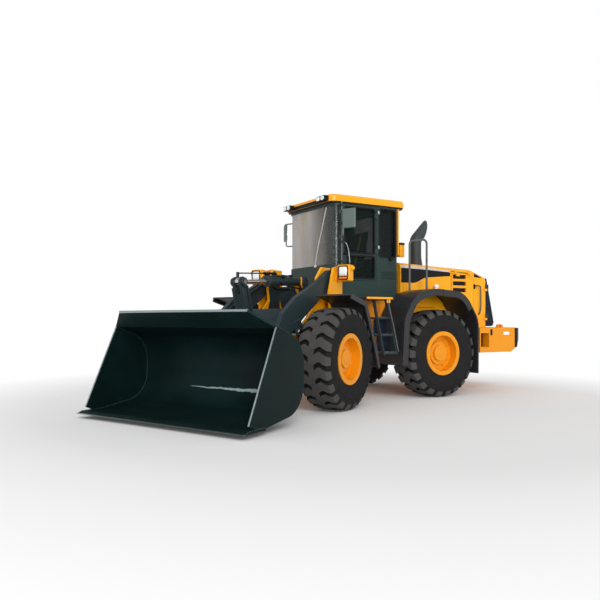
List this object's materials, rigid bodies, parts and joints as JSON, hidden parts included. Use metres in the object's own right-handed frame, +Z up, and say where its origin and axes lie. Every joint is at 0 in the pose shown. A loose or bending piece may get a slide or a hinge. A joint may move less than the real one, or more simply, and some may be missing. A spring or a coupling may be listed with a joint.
{
  "type": "articulated wheel loader",
  "caption": "Articulated wheel loader with a glazed cab, a Z-bar lift arm and a wide bucket, on large treaded tyres; steering, lift, tilt, wheels and doors move.",
  "frame": {"origin": "ground point under the middle of the overall box", "axes": "+X forward along the rear frame, +Y to the machine's left, +Z up"},
  "size_m": [8.0004, 4.3718, 3.338],
  "materials": {
    "yellow_paint": "gloss",
    "dark_cab_paint": "satin",
    "chassis_paint": "satin",
    "boom_paint": "satin",
    "bucket_paint": "satin, worn",
    "chrome_rod": "polished",
    "tyre_rubber": "matte",
    "wheel_paint": "gloss",
    "clear_glass": "clear",
    "black_plastic": "matte",
    "dark_steel": "satin",
    "engine_iron": "matte",
    "seat_fabric": "woven",
    "red_lens": "gloss"
  },
  "bodies": {
    "rear_frame": {"rear_chassis": "chassis_paint", "rear_axle": "chassis_paint", "engine_block": "engine_iron", "side_tanks": "yellow_paint", "counterweight": "yellow_paint", "cab_base": "chassis_paint", "cab_frame": "dark_cab_paint", "cab_roof": "yellow_paint", "windshield": "clear_glass", "cab_glass": "clear_glass", "seat": "seat_fabric", "steering_console": "black_plastic", "hood_shell": "yellow_paint", "exhaust_stack": "dark_steel", "fender_rear_left": "black_plastic", "fender_rear_right": "black_plastic", "ladder_left": "dark_steel", "ladder_right": "dark_steel", "handrails": "dark_steel", "mirrors": "black_plastic", "roof_lamps": "black_plastic", "tail_lamps": "red_lens"},
    "front_frame": {"front_chassis": "yellow_paint", "front_axle": "chassis_paint", "fender_front_left": "black_plastic", "fender_front_right": "black_plastic", "headlamps": "yellow_paint"},
    "boom": {"boom": "boom_paint"},
    "bellcrank": {"bellcrank": "boom_paint"},
    "tilt_link": {"tilt_link": "boom_paint"},
    "bucket": {"bucket": "bucket_paint"},
    "tilt_barrel": {"tilt_barrel": "boom_paint"},
    "tilt_rod": {"tilt_rod": "chrome_rod"},
    "cab_door": {"cab_door": "dark_cab_paint", "door_glass": "clear_glass"},
    "rear_grille": {"rear_grille": "dark_steel"},
    "lift_barrel_left": {"lift_barrel_left": "boom_paint"},
    "lift_rod_left": {"lift_rod_left": "chrome_rod"},
    "steer_barrel_left": {"steer_barrel_left": "boom_paint"},
    "steer_rod_left": {"steer_rod_left": "chrome_rod"},
    "hood_door_left": {"hood_door_left": "yellow_paint"},
    "wheel_front_left": {"tyre_front_left": "tyre_rubber", "rim_front_left": "wheel_paint"},
    "wheel_rear_left": {"tyre_rear_left": "tyre_rubber", "rim_rear_left": "wheel_paint"},
    "lift_barrel_right": {"lift_barrel_right": "boom_paint"},
    "lift_rod_right": {"lift_rod_right": "chrome_rod"},
    "steer_barrel_right": {"steer_barrel_right": "boom_paint"},
    "steer_rod_right": {"steer_rod_right": "chrome_rod"},
    "hood_door_right": {"hood_door_right": "yellow_paint"},
    "wheel_front_right": {"tyre_front_right": "tyre_rubber", "rim_front_right": "wheel_paint"},
    "wheel_rear_right": {"tyre_rear_right": "tyre_rubber", "rim_rear_right": "wheel_paint"}
  },
  "joints": [
    {"name": "steer", "type": "hinge", "parent": "rear_frame", "child": "front_frame", "pos_m": [-0.39015, -0.89589, 0.92], "axis": [0, 0, 1], "range_deg": [-66, 14]},
    {"name": "boom_lift", "type": "hinge", "parent": "front_frame", "child": "boom", "pos_m": [0.32888, -0.54519, 1.96], "axis": [0.4384, -0.8988, 0], "range_deg": [-3, 88]},
    {"name": "bucket_tilt", "type": "hinge", "parent": "boom", "child": "bucket", "pos_m": [2.12647, 0.33155, 0.4], "axis": [-0.4384, 0.8988, 0], "range_deg": [-42, 133]},
    {"name": "bellcrank_turn", "type": "hinge", "parent": "boom", "child": "bellcrank", "pos_m": [1.63663, 0.09264, 1.095], "axis": [-0.4384, 0.8988, 0], "range_deg": [-39.57, 13.18]},
    {"name": "tilt_link_turn", "type": "hinge", "parent": "bucket", "child": "tilt_link", "pos_m": [2.17141, 0.35347, 0.65], "axis": [-0.4384, 0.8988, 0], "range_deg": [-72.82, 23.68]},
    {"name": "tilt_barrel_turn", "type": "hinge", "parent": "front_frame", "child": "tilt_barrel", "pos_m": [0.36484, -0.52766, 1.92], "axis": [0.4384, -0.8988, 0], "range_deg": [-4, 89]},
    {"name": "tilt_rod_slide", "type": "slide", "parent": "tilt_barrel", "child": "tilt_rod", "axis": [0.8974, 0.4377, -0.0548], "range_m": [-0.5145, 0.1693]},
    {"name": "lift_barrel_left_turn", "type": "hinge", "parent": "front_frame", "child": "lift_barrel_left", "pos_m": [0.11036, -0.02872, 1.36], "axis": [0.4384, -0.8988, 0], "range_deg": [-3.58, 76.69]},
    {"name": "lift_rod_left_slide", "type": "slide", "parent": "lift_barrel_left", "child": "lift_rod_left", "axis": [0.8758, 0.4271, -0.2249], "range_m": [-0.0365, 0.7884]},
    {"name": "lift_barrel_right_turn", "type": "hinge", "parent": "front_frame", "child": "lift_barrel_right", "pos_m": [0.60134, -1.03537, 1.36], "axis": [0.4384, -0.8988, 0], "range_deg": [-3.58, 76.69]},
    {"name": "lift_rod_right_slide", "type": "slide", "parent": "lift_barrel_right", "child": "lift_rod_right", "axis": [0.8758, 0.4271, -0.2249], "range_m": [-0.0365, 0.7884]},
    {"name": "steer_barrel_left_turn", "type": "hinge", "parent": "rear_frame", "child": "steer_barrel_left", "pos_m": [-1.14015, -0.59589, 0.85], "axis": [0, 0, 1], "range_deg": [-20.92, 5.23]},
    {"name": "steer_rod_left_slide", "type": "slide", "parent": "steer_barrel_left", "child": "steer_rod_left", "axis": [0.9878, 0.1556, 0], "range_m": [-0.082, 0.3494]},
    {"name": "steer_barrel_right_turn", "type": "hinge", "parent": "rear_frame", "child": "steer_barrel_right", "pos_m": [-1.14015, -1.19589, 0.85], "axis": [0, 0, 1], "range_deg": [-18.53, 4.72]},
    {"name": "steer_rod_right_slide", "type": "slide", "parent": "steer_barrel_right", "child": "steer_rod_right", "axis": [0.9942, 0.1071, 0], "range_m": [-0.4089, 0.0946]},
    {"name": "wheel_front_left_spin", "type": "hinge", "parent": "front_frame", "child": "wheel_front_left", "pos_m": [0.52, 0.694, 0.735], "axis": [-0.4384, 0.8988, 0], "continuous": true},
    {"name": "wheel_front_right_spin", "type": "hinge", "parent": "front_frame", "child": "wheel_front_right", "pos_m": [1.42305, -1.15751, 0.735], "axis": [-0.4384, 0.8988, 0], "continuous": true},
    {"name": "wheel_rear_left_spin", "type": "hinge", "parent": "rear_frame", "child": "wheel_rear_left", "pos_m": [-1.90515, 0.13411, 0.735], "axis": [0, 1, 0], "continuous": true},
    {"name": "wheel_rear_right_spin", "type": "hinge", "parent": "rear_frame", "child": "wheel_rear_right", "pos_m": [-1.90515, -1.92589, 0.735], "axis": [0, 1, 0], "continuous": true},
    {"name": "cab_door_swing", "type": "hinge", "parent": "rear_frame", "child": "cab_door", "pos_m": [-0.94515, -0.17789, 2.5], "axis": [0, 0, 1], "range_deg": [0, 100]},
    {"name": "hood_door_left_lift", "type": "hinge", "parent": "rear_frame", "child": "hood_door_left", "pos_m": [-3.04015, -0.25789, 2.147], "axis": [1, 0, 0], "range_deg": [0, 80]},
    {"name": "hood_door_right_lift", "type": "hinge", "parent": "rear_frame", "child": "hood_door_right", "pos_m": [-3.04015, -1.53389, 2.147], "axis": [-1, 0, 0], "range_deg": [0, 80]},
    {"name": "rear_grille_swing", "type": "hinge", "parent": "rear_frame", "child": "rear_grille", "pos_m": [-3.63515, -0.25789, 1.6], "axis": [0, 0, -1], "range_deg": [0, 90]}
  ],
  "couplings": [
    {"joint": "bellcrank_turn", "follows": "bucket_tilt", "ratio": -0.29},
    {"joint": "tilt_link_turn", "follows": "bucket_tilt", "ratio": -0.54},
    {"joint": "tilt_barrel_turn", "follows": "boom_lift", "ratio": 1},
    {"joint": "tilt_rod_slide", "follows": "bucket_tilt", "m_per_rad": -0.21732},
    {"joint": "lift_barrel_left_turn", "follows": "boom_lift", "ratio": 0.86006},
    {"joint": "lift_rod_left_slide", "follows": "boom_lift", "m_per_rad": 0.50682},
    {"joint": "lift_barrel_right_turn", "follows": "boom_lift", "ratio": 0.86006},
    {"joint": "lift_rod_right_slide", "follows": "boom_lift", "m_per_rad": 0.50682},
    {"joint": "steer_barrel_left_turn", "follows": "steer", "ratio": 0.30188},
    {"joint": "steer_rod_left_slide", "follows": "steer", "m_per_rad": -0.29461},
    {"joint": "steer_barrel_right_turn", "follows": "steer", "ratio": 0.26568},
    {"joint": "steer_rod_right_slide", "follows": "steer", "m_per_rad": 0.34629}
  ]
}
